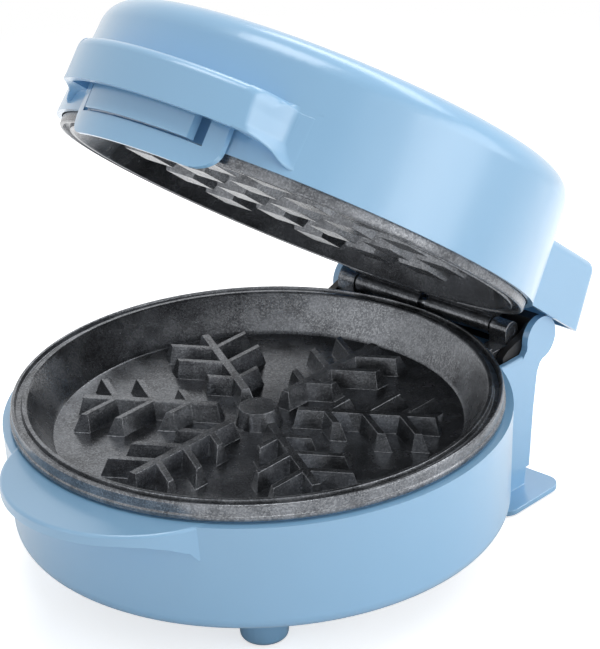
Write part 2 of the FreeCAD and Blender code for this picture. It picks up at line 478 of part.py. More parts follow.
def make_lower_plate():
    body = new_body("lower_plate")
    turn(body, "Revolution", plate_profile(True), "plate_dish")
    under = "contact_z - plate_gap - cavity_depth - plate_floor"
    for side in ("", "-"):
        a, b = side + "knuckle_start", side + "knuckle_end"
        if side:
            a, b = b, a
        pad(body, "XY_Plane", [rectangle(a, b, "arm_root_y", "hinge_y - knuckle_half")], "arm_under_z", "arm_top_z", "arm")
        pad(body, "XY_Plane", [rectangle(a, b, "arm_root_y", "rim_radius - 3.2")], "arm_top_z - 0.5", "rim_step_z - 0.4", "arm_root")
        pad(body, "YZ_Plane", [rectangle("hinge_y - knuckle_half", "hinge_y + knuckle_half", "arm_under_z", "hinge_z")],
            a, b, "knuckle_post")
        pad(body, "YZ_Plane", [("hinge_y", "hinge_z", "knuckle_half")], a, b, "knuckle")
    pocket(body, "YZ_Plane", [("hinge_y", "hinge_z", "pin_radius")], "-knuckle_end - 1", "knuckle_end + 1", "pin_bore")
    spots = [("lug_ring", "0"), ("-lug_ring", "0"), ("0", "-lug_ring")]
    pad(body, "XY_Plane", [(x, y, "post_radius") for x, y in spots], "lug_z + lug_thick", under + " + 1", "plate_bosses")
    pocket(body, "XY_Plane", [(x, y, "cover_screw_radius + hole_clear") for x, y in spots],
           "lug_z + lug_thick - 1", "lug_z + plate_screw_length", "plate_boss_holes")
    stays = [("stay_ring * cos(%d)" % a, "stay_ring * sin(%d)" % a) for a in (30, 150, 270)]
    pad(body, "XY_Plane", [(x, y, "stay_radius") for x, y in stays], under + " - reflector_drop", under + " + 1",
        "reflector_stays")
    pocket(body, "XY_Plane", [(x, y, "small_screw_radius + hole_clear") for x, y in stays],
           under + " - reflector_drop - 1", under + " - 1.5", "stay_holes")
    floor = "contact_z - plate_gap - cavity_depth - 0.2"
    height = "relief + 0.2"
    tapered_pad(body, [("0", "0", "hub_radius")], floor, height, "relief_draft", "hub")
    parts = [tapered_pad(body, [rectangle("spine_start", "spine_end", "-spine_half", "spine_half")], floor,
                         height, "relief_draft", "spine", turned="snowflake_turn")]
    for i in (1, 2, 3):
        foot = "branch_%d" % i
        run = "branch_reach_%d * cos(branch_slant)" % i
        rise = "branch_reach_%d * sin(branch_slant)" % i
        chevron = [("%s + branch_width" % foot, "0"), ("%s + %s + branch_width" % (foot, run), rise),
                   ("%s + %s" % (foot, run), rise), (foot, "0"), ("%s + %s" % (foot, run), "-1 * " + rise),
                   ("%s + %s + branch_width" % (foot, run), "-1 * " + rise)]
        parts.append(tapered_pad(body, [chevron], floor, height, "relief_draft", "branches_%d" % i,
                                 turned="snowflake_turn"))
    polar(body, parts, 6, "snowflake")
    return body


def make_upper_plate():
    body = new_body("upper_plate")
    turn(body, "Revolution", plate_profile(False), "plate_dish")
    back = "contact_z + upper_rim_height"
    under = "contact_z + cavity_depth + plate_floor"
    for side in ("", "-"):
        a, b = side + "barrel_start", side + "barrel_end"
        if side:
            a, b = b, a
        pad(body, "XY_Plane", [rectangle(a, b, "rim_radius - 2.7", "hinge_y + 1.6")], "contact_z", "lid_foot_z - 0.3", "hinge_leaf")
        pad(body, "YZ_Plane", [("hinge_y", "hinge_z", "barrel_radius")], a, b, "barrel")
    pocket(body, "YZ_Plane", [("hinge_y", "hinge_z", "pin_radius + pin_run")], "-knuckle_end", "knuckle_end", "pin_bore")
    spots = [("lug_ring", "0"), ("-lug_ring", "0"), ("0", "-lug_ring")]
    pad(body, "XY_Plane", [(x, y, "post_radius") for x, y in spots], under + " - 1", under + " + 5", "plate_bosses")
    pocket(body, "XY_Plane", [(x, y, "cover_screw_radius + hole_clear") for x, y in spots],
           under, under + " + 6", "plate_boss_holes")
    stays = [("stay_ring * cos(%d)" % a, "stay_ring * sin(%d)" % a) for a in (30, 150, 270)]
    pad(body, "XY_Plane", [(x, y, "stay_radius") for x, y in stays], under + " - 1", under + " + reflector_drop",
        "reflector_stays")
    pocket(body, "XY_Plane", [(x, y, "small_screw_radius + hole_clear") for x, y in stays],
           under + " + 1.5", under + " + reflector_drop + 1", "stay_holes")
    floor = "contact_z + cavity_depth + 0.2"
    for i in range(-2, 3):
        for j in range(-2, 3):
            if abs(i) == 2 and abs(j) == 2:
                continue
            x, y = "%d * stud_pitch" % i, "%d * stud_pitch" % j
            tapered_pad(body, [rectangle(x + " - stud_base / 2", x + " + stud_base / 2",
                        y + " - stud_base / 2", y + " + stud_base / 2")], floor,
                        "cavity_depth + 0.2 - stud_short", "stud_draft", "stud", down=True)
    return body


def make_heater(label, level, way):
    # tubular ring with two legs; level is the plate's flat back, way is the side it lies on
    body = new_body(label)
    z = "%s %s (heater_seat + heater_tube)" % (level, way)
    gap = "heater_gap_angle / 2"
    turn(body, "Revolution", None, "ring", degrees="360 - heater_gap_angle",
         shapes=[("-heater_ring", z, "heater_tube")], plane="YZ_Plane")
    x = "heater_ring * sin(%s)" % gap
    y = "heater_ring * cos(%s)" % gap
    for side in ("", "-1 * "):
        knob = body.newObject("PartDesign::AdditiveSphere", "leg_crimp")
        bind(knob, "Radius", "heater_tube + 0.05")
        bind(knob, "Placement.Base.x", side + x)
        bind(knob, "Placement.Base.y", y)
        bind(knob, "Placement.Base.z", z)
    low, high = (z + " - leg_drop", z) if way == "-" else (z, z + " + leg_drop")
    pad(body, "XY_Plane", [(x, y, "pin_leg"), ("-1 * " + x, y, "pin_leg")], low, high, "legs")
    return body


def make_reflector(label, level, way, bore):
    body = new_body(label)
    near = "%s %s reflector_drop" % (level, way)
    far = "%s %s (reflector_drop + sheet_metal)" % (level, way)
    lip = "%s %s (reflector_drop - reflector_lip)" % (level, way)
    turn(body, "Revolution", [(bore, near), ("reflector_radius - sheet_metal", near),
         ("reflector_radius - sheet_metal", lip), ("reflector_radius", lip), ("reflector_radius", far),
         (bore, far)], "dish")
    gap = "heater_gap_angle / 2"
    x, y = "heater_ring * sin(%s)" % gap, "heater_ring * cos(%s)" % gap
    pocket(body, "XY_Plane", [(x, y, "leg_hole"), ("-1 * " + x, y, "leg_hole")],
           "%s - reflector_drop - 3" % level, "%s + reflector_drop + 3" % level, "leg_holes")
    stays = [("stay_ring * cos(%d)" % a, "stay_ring * sin(%d)" % a) for a in (30, 150, 270)]
    pocket(body, "XY_Plane", [(sx, sy, "small_screw_radius + hole_clear") for sx, sy in stays],
           "%s - reflector_drop - 3" % level, "%s + reflector_drop + 3" % level, "stay_clearance")
    return body


def make_thermostat():
    body = new_body("thermostat")
    level = "contact_z - plate_gap - cavity_depth - plate_floor"
    pad(body, "XY_Plane", [("0", "0", "stat_radius")], level + " - stat_height", level, "case")
    blades = [rectangle("blade_x", "blade_x + blade_thick", "-blade_half", "blade_half"),
              rectangle("-blade_x - blade_thick", "-blade_x", "-blade_half", "blade_half")]
    pad(body, "XY_Plane", blades, level + " - stat_height - blade_drop", level + " - stat_height + 1", "blades")
    return body


def make_thermal_fuse():
    body = new_body("thermal_fuse")
    level = "contact_z - plate_gap - cavity_depth - plate_floor - reflector_drop - sheet_metal - fuse_radius"
    pad(body, "YZ_Plane", [("fuse_y", level, "fuse_radius")], "-fuse_half", "fuse_half", "case")
    pad(body, "YZ_Plane", [("fuse_y", level, "fuse_radius / 3")], "-fuse_half - 3", "fuse_half + 3", "leads")
    return body


def make_terminal_block():
    body = new_body("terminal_block")
    pad(body, "XY_Plane", [rectangle("-block_term_half", "block_term_half", "block_term_y",
        "block_term_y + block_term_deep")], "cover_top_z", "cover_top_z + block_term_high", "case")
    wells = [("-6", "block_term_y + block_term_deep / 2", "2"), ("0", "block_term_y + block_term_deep / 2", "2"),
             ("6", "block_term_y + block_term_deep / 2", "2")]
    pocket(body, "XY_Plane", wells, "cover_top_z + block_term_high - 4", "cover_top_z + block_term_high + 1", "wells")
    return body


def make_cord_gland():
    body = new_body("cord_gland")
    wall_in = "block_foot_y - wall"
    wall_out = "block_mid_y"
    turn(body, "Revolution", [("gland_bore", wall_in + " - 2.2"), ("gland_flange", wall_in + " - 2.2"),
         ("gland_flange", wall_in + " - 0.1"), ("gland_neck", wall_in + " - 0.1"), ("gland_neck", wall_out),
         ("gland_out", wall_out), ("gland_out", wall_out + " + 1.2"), ("gland_tip", "gland_end_y"),
         ("gland_bore", "gland_end_y")], "bush", plane="XY_Plane", offset="gland_z")
    return body


# Black lining of the slot between the hinge cheeks: a rear wall and two legs beside the plate's arms
def make_hinge_shroud():
    body = new_body("hinge_shroud")
    half = "cheek_inner - shroud_gap"
    pad(body, "XY_Plane", [rectangle("-(%s)" % half, half, "shroud_front_y", "shroud_rear_y")], "block_roof_z",
        "shroud_low_z", "rear_wall")
    for side in ("", "-"):
        a, b = side + "shroud_step", side + "(%s)" % half
        c = side + "(knuckle_end + shroud_gap + 0.2)"
        if side:
            a, b, c = b, a, c
        pad(body, "YZ_Plane", [[("shroud_front_y", "block_roof_z"), ("shroud_rear_y", "block_roof_z"),
            ("shroud_rear_y", "shroud_top_z - 1.5"), ("shroud_rear_y - 1.5", "shroud_top_z"),
            ("shroud_front_y", "shroud_top_z")]], a, b, "side_wall")
        e, f = (a, c) if side else (c, b)
        pad(body, "YZ_Plane", [[("shroud_leg_y", "block_roof_z"), ("shroud_front_y + 0.5", "block_roof_z"),
            ("shroud_front_y + 0.5", "shroud_top_z - 1"), ("shroud_front_y - 3", "shroud_top_z - 3"),
            ("shroud_leg_y + 2", "ledge_z + 2.5"), ("shroud_leg_y", "ledge_z + 1.2")]], e, f, "side_leg")
    return body


def make_pin(label, y, z, radius, half):
    body = new_body(label)
    pad(body, "YZ_Plane", [(y, z, radius)], "-1 * (%s)" % half, half, "rod")
    return body


# Lid: shell with the front brow handle and the rear hinge cover in one moulding
def make_lid_housing():
    body = new_body("lid_housing")
    brow = pad(body, "XY_Plane", [("0", "-brow_centre_y", "brow_radius")], "lid_foot_z", "brow_top_z", "brow_disc")
    far, deep = "brow_radius + 2", "-brow_centre_y - brow_radius - 2"
    ends = [rectangle("brow_half", far, deep, "brow_radius"), rectangle("-(%s)" % far, "-brow_half", deep, "brow_radius")]
    brow = pocket(body, "XY_Plane", ends, "lid_foot_z - 1", "brow_top_z + 1", "brow_ends")
    brow_end, brow_y = size("brow_half"), -size("brow_centre_y")

    def is_brow_corner(edge):
        bb = edge.BoundBox
        upright = bb.ZLength > 5 and bb.XLength < 0.01 and bb.Center.y < brow_y - 19.8
        return upright and abs(abs(bb.Center.x) - brow_end) < 0.01
    brow = soften(body, brow, is_brow_corner, "brow_corner", "brow_corners")
    top = size("brow_top_z")

    def is_brow_top(edge):
        return abs(edge.BoundBox.ZMin - top) < 0.01 and edge.BoundBox.YMin < brow_y - 9.8
    soften(body, brow, is_brow_top, "brow_round", "brow_edge")
    arch = [("-brow_arch_half", "lid_foot_z - 1"), ("brow_arch_half", "lid_foot_z - 1"),
            ("brow_arch_half", "brow_low_z - brow_arch"),
            ("brow_arch_half - 0.076 * brow_arch", "brow_low_z - 0.617 * brow_arch"),
            ("brow_arch_half - 0.293 * brow_arch", "brow_low_z - 0.293 * brow_arch"),
            ("brow_arch_half - 0.617 * brow_arch", "brow_low_z - 0.076 * brow_arch"),
            ("brow_arch_half - brow_arch", "brow_low_z"), ("brow_arch - brow_arch_half", "brow_low_z"),
            ("0.617 * brow_arch - brow_arch_half", "brow_low_z - 0.076 * brow_arch"),
            ("0.293 * brow_arch - brow_arch_half", "brow_low_z - 0.293 * brow_arch"),
            ("0.076 * brow_arch - brow_arch_half", "brow_low_z - 0.617 * brow_arch"),
            ("-brow_arch_half", "brow_low_z - brow_arch")]
    pocket(body, "XZ_Plane", [arch], "-brow_centre_y - brow_radius - 5", "0", "brow_underside")
    pocket(body, "XY_Plane", [("0", "-brow_centre_y", "brow_radius - brow_wall")], "lid_foot_z - 1",
           "brow_top_z - brow_wall", "brow_hollow")
    inner = "brow_half - brow_wall"
    front, back = "-(brow_centre_y + 27.8)", "-(brow_centre_y + 19.8)"
    walls = [rectangle(inner, "brow_half", front, back), rectangle("-brow_half", "-(%s)" % inner, front, back)]
    pad(body, "XY_Plane", walls, "brow_low_z", "brow_top_z - brow_wall", "brow_end_walls")
    ears = [rectangle("-(latch_y + 0.5)", "6 - latch_y", "latch_z - ear_radius", "brow_top_z - brow_wall")]
    for side in ("", "-"):
        a, b = side + "ear_start", side + "ear_end"
        if side:
            a, b = b, a
        pad(body, "YZ_Plane", ears, a, b, "latch_ear")
        pad(body, "YZ_Plane", [("-latch_y", "latch_z", "ear_radius")], a, b, "latch_ear_nose")
    box = pad(body, "YZ_Plane", [[("box_front_y", "box_low_z"), ("box_low_y", "box_low_z"),
              ("box_top_y", "box_top_z"), ("box_front_y", "box_top_z")]], "-box_half", "box_half", "hinge_cover")
    top, low, half, deep = size("box_top_z"), size("box_low_z"), size("box_half"), size("box_top_y")

    def is_box_edge(edge):
        bb = edge.BoundBox
        rear_top = abs(bb.ZMin - top) < 0.01 and abs(bb.YMin - deep) < 0.01
        side_top = abs(bb.ZMin - top) < 0.01 and abs(abs(bb.Center.x) - half) < 0.01 and bb.XLength < 0.01
        rear_side = bb.YMin > deep - 0.01 and bb.ZLength > 5 and bb.XLength < 0.01
        return rear_top or side_top or rear_side
    soften(body, box, is_box_edge, "box_round", "hinge_cover_edges")
    pocket(body, "YZ_Plane", [[("box_front_y", "box_low_z - 1"), ("box_low_y - box_wall + 0.2", "box_low_z - 1"),
           ("box_top_y - box_wall", "box_top_z - box_wall"), ("box_front_y", "box_top_z - box_wall")]],
           "box_wall - box_half", "box_half - box_wall", "hinge_cover_hollow")
    drum = turn(body, "Revolution", [("0", "lid_foot_z"), ("lid_foot_radius", "lid_foot_z"),
                ("lid_top_radius", "lid_top_z"), ("0", "lid_top_z")], "lid_drum")
    drum = soften(body, drum, ring_at(size("lid_top_z"), size("lid_top_radius")), "lid_top_round", "lid_top_edge")

    def is_brow_root(edge):
        bb = edge.BoundBox
        upright = bb.XLength < 1 and bb.ZLength > 4 and abs(bb.Center.y - brow_y + 20) < 6
        return upright and abs(abs(bb.Center.x) - brow_end) < 0.3
    soften(body, drum, is_brow_root, "brow_blend", "brow_roots")
    turn(body, "Groove", [("0", "lid_foot_z - 1"), ("rim_radius + rim_clear", "lid_foot_z - 1"),
         ("rim_radius + rim_clear", "lid_deck_z"), ("deck_inner_radius", "lid_deck_z"),
         ("deck_inner_radius", "lid_deck_z + lid_deck_thick"),
         ("lid_foot_radius - wall - 0.2", "lid_deck_z + lid_deck_thick"),
         ("lid_top_radius - wall", "lid_top_z - lid_top_round - 1"),
         ("lid_top_radius - wall - 0.35 * lid_top_round", "lid_top_z - wall - 1.2"),
         ("lid_top_radius - wall - 0.9 * lid_top_round", "lid_top_z - wall"), ("0", "lid_top_z - wall")],
         "lid_hollow")
    turn(body, "Revolution", rectangle("seat_ring_inner", "seat_ring_outer", "contact_z + upper_rim_height",
         "lid_deck_z + 0.5"), "plate_seat")
    pocket(body, "XZ_Plane", [rectangle("-wire_slot_half", "wire_slot_half", "wire_slot_low", "wire_slot_high")],
           "lid_top_radius - 6.1", "lid_foot_radius + 2", "wire_slot")
    under = "contact_z + cavity_depth + plate_floor + 5"
    spots = [("lug_ring", "0"), ("-lug_ring", "0"), ("0", "-lug_ring")]
    lugs = [rectangle("lug_ring - 4.5", "lid_top_radius - 1", "-lug_half", "lug_half"),
            rectangle("1 - lid_top_radius", "4.5 - lug_ring", "-lug_half", "lug_half"),
            rectangle("-lug_half", "lug_half", "1 - lid_top_radius", "4.5 - lug_ring")]
    pad(body, "XY_Plane", lugs, under, under + " + lug_thick", "plate_lugs")
    pocket(body, "XY_Plane", [(x, y, "cover_screw_radius + hole_clear") for x, y in spots],
           under + " - 1", under + " + lug_thick + 6", "lug_holes")
    pocket(body, "XY_Plane", [("0", "lens_y", "lens_radius + hole_clear")], "lid_top_z - 4", "lid_top_z + 1", "lens_hole")
    pocket(body, "YZ_Plane", [("-latch_y", "latch_z", "latch_pin_radius")], "-latch_pin_half", "latch_pin_half", "pin_bore")
    return body


def make_indicator_lens():
    body = new_body("indicator_lens")
    roof = "lid_top_z - wall"
    turn(body, "Revolution", [("0", roof + " - lens_deep"), ("lens_radius", roof + " - lens_deep"),
         ("lens_radius", roof + " - lens_flange_thick"), ("lens_flange", roof + " - lens_flange_thick"),
         ("lens_flange", roof), ("lens_radius", roof), ("lens_radius", "lid_top_z"),
         ("lens_radius * 0.6", "lid_top_z + lens_rise * 0.8"), ("0", "lid_top_z + lens_rise")], "lens")
    pocket(body, "XY_Plane", [("0", "0", "lamp_radius + hole_clear")], roof + " - lens_deep - 1",
           roof + " - lens_deep + 3", "lamp_socket")
    bind(body, "Placement.Base.y", "lens_y")
    return body


def make_neon_lamp():
    body = new_body("neon_lamp")
    top = "lid_top_z - wall - lens_deep + 3"
    pad(body, "XY_Plane", [("0", "lens_y", "lamp_radius")], top + " - lamp_length", top, "bulb")
    pad(body, "XY_Plane", [("1", "lens_y", "0.4"), ("-1", "lens_y", "0.4")], top + " - lamp_length - lamp_lead",
        top + " - lamp_length + 1", "leads")
    return body


# Latch: a curved clip on a cross pin behind the brow, with a proud thumb pad between two slots
def make_latch():
    body = new_body("latch_clip")
    centre = "-latch_centre_y"
    pad(body, "XY_Plane", [("0", centre, "latch_outer")], "latch_low_z", "latch_top_z", "clip_blank")
    thumb = pad(body, "XY_Plane", [("0", centre, "latch_outer + thumb_proud")], "thumb_low_z", "latch_top_z", "thumb_blank")
    soften(body, thumb, ring_at(size("thumb_low_z"), size("latch_outer") + size("thumb_proud")), "thumb_edge",
           "thumb_low_edge")
    sides = []
    for way in ("", "-1 * "):
        near, far = way + "(thumb_half)", way + "(latch_outer + 3)"
        sides.append([(near, "-80"), (far, "-80"), (far, "0"), (near, "0")])
    ring = [("0", centre, "latch_outer")]
    pocket(body, "XY_Plane", sides, "thumb_low_z - 0.1", "latch_top_z + 1", "thumb_sides")
    pad(body, "XY_Plane", ring, "latch_low_z", "latch_top_z", "clip_face")
    pocket(body, "XY_Plane", [("0", centre, "latch_outer - latch_thick")], "latch_low_z - 1", "latch_top_z + 1",
           "inner_face")
    c = "latch_half"
    r = "latch_corner"
    right = [("80", "latch_low_z - 1"), ("80", "latch_top_z + 1"), (c, "latch_top_z + 1"),
             (c, "latch_low_z + " + r), (c + " - 0.020 * " + r, "latch_low_z + 0.805 * " + r),
             (c + " - 0.076 * " + r, "latch_low_z + 0.617 * " + r),
             (c + " - 0.169 * " + r, "latch_low_z + 0.444 * " + r),
             (c + " - 0.293 * " + r, "latch_low_z + 0.293 * " + r),
             (c + " - 0.444 * " + r, "latch_low_z + 0.169 * " + r),
             (c + " - 0.617 * " + r, "latch_low_z + 0.076 * " + r),
             (c + " - 0.805 * " + r, "latch_low_z + 0.020 * " + r), (c + " - " + r, "latch_low_z"),
             (c + " - " + r, "latch_low_z - 1")]
    pocket(body, "XZ_Plane", [right], "-80", "80", "right_outline")
    mirrored = [("-1 * (%s)" % x, z) for x, z in right]
    pocket(body, "XZ_Plane", [mirrored], "-80", "80", "left_outline")
    pocket(body, "XZ_Plane", [rectangle("-60", "60", "latch_low_z - 5", "latch_top_z + 5")],
           "22 - latch_y", "80", "rear_clear")
    arm = "latch_half - latch_arm"
    slots = [rectangle("thumb_half", arm, "latch_band_top", "latch_bar_z"),
             rectangle("-(%s)" % arm, "-thumb_half", "latch_band_top", "latch_bar_z"),
             ]
    pocket(body, "XZ_Plane", slots, "-80", "0", "side_slots")
    pocket(body, "XZ_Plane", [rectangle("-thumb_half - 0.01", "thumb_half + 0.01", "latch_band_top", "thumb_low_z")],
           "-80", "0", "thumb_slit")
    for side in ("", "-"):
        a, b = side + "(%s)" % arm, side + "latch_half"
        if side:
            a, b = b, a
        pad(body, "YZ_Plane", [("-latch_y", "latch_z", "latch_eye")], a, b, "eye")
    pocket(body, "YZ_Plane", [("-latch_y", "latch_z", "latch_pin_radius + pin_run")], "-30", "30", "pin_bore")
    return body


lower_back = "contact_z - plate_gap - cavity_depth - plate_floor"
upper_back = "contact_z + cavity_depth + plate_floor"
q = "post_ring * cos(45)"
cover_spots = [(sx + q, sy + q) for sx in ("", "-") for sy in ("", "-")]
lug_spots = [("lug_ring", "0"), ("-lug_ring", "0"), ("0", "-lug_ring")]
stay_spots = [("stay_ring * cos(%d)" % a, "stay_ring * sin(%d)" % a) for a in (30, 150, 270)]

base_nodes = [
    make_base_housing(), make_bottom_cover(), make_foot_pads(), make_lower_plate(),
    make_heater("lower_heater", lower_back, "-"),
    make_reflector("lower_reflector", lower_back, "-", "reflector_bore"),
    make_thermostat(), make_thermal_fuse(), make_terminal_block(), make_cord_gland(), make_hinge_shroud(),
    make_pin("hinge_pin", "hinge_y", "hinge_z", "pin_radius", "pin_half"),
    screws("cover_screws", cover_spots, "cover_under_z + cover_head", "cover_head_radius", "cover_head",
           "cover_screw_radius", "cover_screw_length", True),
    screws("lower_plate_screws", lug_spots, "lug_z", "cover_head_radius", "small_head", "cover_screw_radius",
           "plate_screw_length - 1", True),
    screws("lower_reflector_screws", stay_spots, lower_back + " - reflector_drop - sheet_metal",
           "small_head_radius", "small_head", "small_screw_radius", "small_screw_length", True),
]
lid_nodes = [
    make_lid_housing(), make_upper_plate(), make_heater("upper_heater", upper_back, "+"),
    make_reflector("upper_reflector", upper_back, "+", "stat_radius"), make_indicator_lens(), make_neon_lamp(),
    make_pin("latch_pin", "-latch_y", "latch_z", "latch_pin_radius", "latch_pin_half"),
    screws("upper_plate_screws", lug_spots, upper_back + " + 5 + lug_thick", "cover_head_radius", "small_head",
           "cover_screw_radius", "plate_screw_length - 1", False),
    screws("upper_reflector_screws", stay_spots, upper_back + " + reflector_drop + sheet_metal",
           "small_head_radius", "small_head", "small_screw_radius", "small_screw_length", False),
]
latch_nodes = [make_latch()]

# The lid stands open about the hinge pin; then every node moves into the shared frame
open_lid = FreeCAD.Placement(V(0, 0, 0), FreeCAD.Rotation(V(1, 0, 0), -size("lid_open")),
                             V(0, size("hinge_y"), size("hinge_z")))
to_frame = FreeCAD.Placement(V(0, -size("frame_shift"), 0), FreeCAD.Rotation())
doc.recompute()
for node in lid_nodes + latch_nodes:
    node.setExpression("Placement.Base.y", None)
    node.Placement = open_lid.multiply(node.Placement)
for node in base_nodes + lid_nodes + latch_nodes:
    node.Placement = to_frame.multiply(node.Placement)
doc.recompute()

for obj in doc.Objects:
    if "Invalid" in obj.State or "Error" in obj.State:
        raise RuntimeError("%s did not compute" % obj.Label)
os.makedirs("parts", exist_ok=True)
for node in base_nodes + lid_nodes + latch_nodes:
    if node.Shape.isNull() or not node.Shape.isValid():
        raise RuntimeError("%s has a bad shape" % node.Label)
    node.Shape.exportStep("parts/%s.step" % node.Label)
    print("%-24s %2d solids %10.1f mm3" % (node.Label, len(node.Shape.Solids), node.Shape.Volume))
box = Part.makeCompound([n.Shape for n in base_nodes + lid_nodes + latch_nodes]).BoundBox
print("x %.2f %.2f  y %.2f %.2f  z %.2f %.2f" % (box.XMin, box.XMax, box.YMin, box.YMax, box.ZMin, box.ZMax))
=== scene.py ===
import math

import bmesh
import bpy
import numpy as np
from mathutils import Matrix, Vector


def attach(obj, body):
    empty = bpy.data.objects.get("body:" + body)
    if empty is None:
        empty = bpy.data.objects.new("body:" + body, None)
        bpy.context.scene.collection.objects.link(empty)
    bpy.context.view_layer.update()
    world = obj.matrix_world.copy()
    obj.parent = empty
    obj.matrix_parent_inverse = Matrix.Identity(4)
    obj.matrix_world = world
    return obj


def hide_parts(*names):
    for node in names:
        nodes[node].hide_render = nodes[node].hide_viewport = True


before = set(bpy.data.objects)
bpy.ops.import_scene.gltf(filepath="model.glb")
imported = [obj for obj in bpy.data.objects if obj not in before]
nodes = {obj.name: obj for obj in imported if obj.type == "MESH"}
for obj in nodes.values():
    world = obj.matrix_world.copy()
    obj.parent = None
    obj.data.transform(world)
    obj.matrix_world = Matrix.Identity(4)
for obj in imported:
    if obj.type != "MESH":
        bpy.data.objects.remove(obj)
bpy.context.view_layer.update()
print("frame loaded:", len(nodes), "nodes")

mm = 0.001  # one millimetre in metres

# where the lid stands at rest, in millimetres and degrees; its patterns follow the closed lid's frame
pose = {
    "hingeY": 57.36,
    "hingeZ": 44.6,
    "lidOpen": 37.6,
}


def hexColour(text):
    # sRGB hex to linear values
    out = []
    for i in (0, 2, 4):
        c = int(text[i:i + 2], 16) / 255
        out.append(c / 12.92 if c <= 0.04045 else ((c + 0.055) / 1.055) ** 2.4)
    return (out[0], out[1], out[2], 1.0)


def perMetre(size):
    # the scale of a pattern whose largest blotch is about size millimetres
    return 1 / (size * mm)


def addNode(tree, kind, links=None, stops=(), **settings):
    # one node: its settings, its sockets linked or set by name or number, and a ramp's stops,
    # each a place with a hex colour or a grey level
    node = tree.nodes.new(kind)
    for key, value in settings.items():
        setattr(node, key, value)
    for key, value in (links or {}).items():
        socket = node.inputs[key]
        if isinstance(value, bpy.types.NodeSocket):
            tree.links.new(value, socket)
        else:
            socket.default_value = value
    while stops and len(node.color_ramp.elements) < len(stops):
        node.color_ramp.elements.new(0.5)
    for i, (place, colour) in enumerate(stops):
        element = node.color_ramp.elements[i]
        element.position = place
        element.color = hexColour(colour) if isinstance(colour, str) else (colour, colour, colour, 1)
    return node


def newMaterial(name, sockets):
    # a material of one principled shader with the given sockets
    mat = bpy.data.materials.new(name)
    mat.use_nodes = True
    tree = mat.node_tree
    tree.nodes.clear()
    shader = addNode(tree, "ShaderNodeBsdfPrincipled", sockets)
    addNode(tree, "ShaderNodeOutputMaterial", {"Surface": shader.outputs[0]})
    return mat, tree, shader


def objectCoords(tree, onLid=False):
    # Object coordinates; a lid piece is turned back to the closed lid's frame
    coords = addNode(tree, "ShaderNodeTexCoord").outputs["Object"]
    if not onLid:
        return coords
    angle = math.radians(pose["lidOpen"])
    pivot = Vector((0, pose["hingeY"] * mm, pose["hingeZ"] * mm))
    turn = Matrix.Rotation(angle, 3, "X")
    shift = pivot - turn @ pivot
    links = {"Vector": coords, "Location": shift, "Rotation": (angle, 0, 0)}
    return addNode(tree, "ShaderNodeMapping", links).outputs[0]


# ABS, injection moulded in a polished tool: one even pale blue with a soft sheen,
# barely visible flow in the colour and a faint waviness left by the tool; sizes in millimetres
blueAbs = {
    "colour": "8abbe0",
    "deep": "87b8dd",
    "light": "8dbde2",
    "rough": 0.3,
    "roughSpread": 0.03,
    "index": 1.53,
    "polish": 0.9,
    "polishRough": 0.22,
    "polishIndex": 1.6,
    "flow": 38,
    "smudge": 11,
    "wave": 6.0,
    "waveDepth": 0.012,
    "grain": 0.35,  # as coarse as it needs to show
    "grainDepth": 0.0015,
}


def makeBlueAbs(name, onLid=False):
    s = blueAbs
    sockets = {
        "Roughness": s["rough"],
        "IOR": s["index"],
        "Coat Weight": s["polish"],
        "Coat Roughness": s["polishRough"],
        "Coat IOR": s["polishIndex"],
    }
    mat, tree, shader = newMaterial(name, sockets)
    coords = objectCoords(tree, onLid)
    # colour: three close blues that follow the flow
    links = {"Vector": coords, "Scale": perMetre(s["flow"]), "Detail": 2}
    flow = addNode(tree, "ShaderNodeTexNoise", links)
    stops = [(0.2, s["deep"]), (0.5, s["colour"]), (0.8, s["light"])]
    colour = addNode(tree, "ShaderNodeValToRGB", {"Fac": flow.outputs[0]}, stops)
    tree.links.new(colour.outputs[0], shader.inputs["Base Color"])
    # smudges a little smoother or duller than the rest
    links = {"Vector": coords, "Scale": perMetre(s["smudge"]), "Detail": 4}
    smudge = addNode(tree, "ShaderNodeTexNoise", links)
    stops = [(0.1, s["rough"] - s["roughSpread"]), (0.9, s["rough"] + s["roughSpread"])]
    rough = addNode(tree, "ShaderNodeValToRGB", {"Fac": smudge.outputs[0]}, stops)
    tree.links.new(rough.outputs[0], shader.inputs["Roughness"])
    # relief: the tool's waves over a fine grain
    links = {"Vector": coords, "Scale": perMetre(s["wave"]), "Detail": 1}
    wave = addNode(tree, "ShaderNodeTexNoise", links)
    links = {"Vector": coords, "Scale": perMetre(s["grain"]), "Detail": 2}
    grain = addNode(tree, "ShaderNodeTexNoise", links)
    links = {"Height": grain.outputs[0], "Distance": s["grainDepth"] * mm}
    fine = addNode(tree, "ShaderNodeBump", links)
    links = {"Height": wave.outputs[0], "Distance": s["waveDepth"] * mm, "Normal": fine.outputs[0]}
    relief = addNode(tree, "ShaderNodeBump", links)
    tree.links.new(relief.outputs[0], shader.inputs["Normal"])
    return mat


# aluminium, die cast, under a sprayed metallic non-stick coat: dark grey, cloudy, speckled by the
# flakes in the coat and dimpled by the orange peel of the spray; sizes in millimetres
castCoat = {
    "dark": "45474b",
    "mid": "7a7d82",
    "flake": "c0c3c7",
    "flakeShine": 0.4,
    "rough": 0.25,
    "roughClear": 0.05,
    "roughCloudy": 0.06,
    "metal": 0.82,
    "cloud": 7.0,
    "grain": 0.34,  # the flakes, as coarse as they need to show
    "peel": 0.55,
    "peelDepth": 0.03,
}


